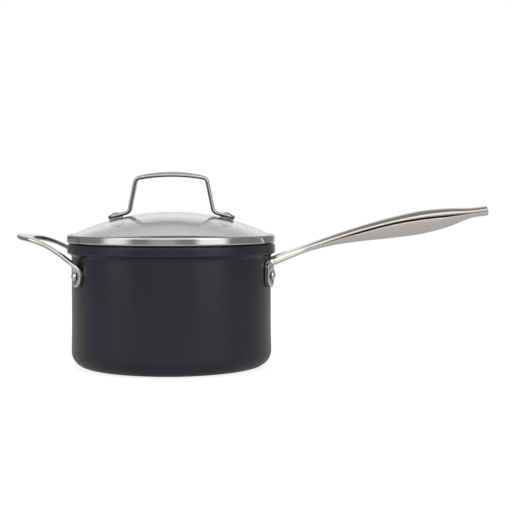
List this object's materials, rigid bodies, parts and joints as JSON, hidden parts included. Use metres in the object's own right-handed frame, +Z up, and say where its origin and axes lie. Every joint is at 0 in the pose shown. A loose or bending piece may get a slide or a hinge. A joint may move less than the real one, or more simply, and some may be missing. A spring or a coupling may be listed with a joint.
{
  "type": "saucepan",
  "caption": "Straight-sided saucepan with a long cast handle, a helper loop and a domed glass lid that lifts off.",
  "frame": {"origin": "centre of the flat underside of the base, on the pan's axis", "axes": "+Z up along the pan's axis, +X along the long handle away from the pan, +Y across"},
  "size_m": [0.4254, 0.188, 0.1762],
  "materials": {
    "anodised_aluminium": "hard anodised, dark satin",
    "cast_steel": "cast and polished, satin underneath",
    "rivet_steel": "polished",
    "lid_glass": "clear tempered, polished",
    "ring_steel": "rolled, half polished",
    "strap_steel": "tumbled satin",
    "washer_steel": "pressed, satin",
    "clear_rubber": "translucent silicone"
  },
  "bodies": {
    "pan": {"pan_body": "anodised_aluminium", "long_handle": "cast_steel", "helper_handle": "cast_steel", "long_handle_rivet_front": "rivet_steel", "long_handle_rivet_back": "rivet_steel", "helper_handle_rivet_front": "rivet_steel", "helper_handle_rivet_back": "rivet_steel"},
    "lid": {"lid_glass": "lid_glass", "lid_rim": "ring_steel", "lid_rim_seal": "clear_rubber", "lid_handle": "strap_steel", "lid_rivet_left": "rivet_steel", "lid_rivet_right": "rivet_steel", "lid_grommet_left": "clear_rubber", "lid_grommet_right": "clear_rubber", "lid_gasket_left": "clear_rubber", "lid_gasket_right": "clear_rubber", "lid_washer_left": "washer_steel", "lid_washer_right": "washer_steel"}
  },
  "joints": [
    {"name": "lid_lift", "type": "slide", "parent": "pan", "child": "lid", "axis": [0, 0, 1], "range_m": [0, 0.08]}
  ]
}
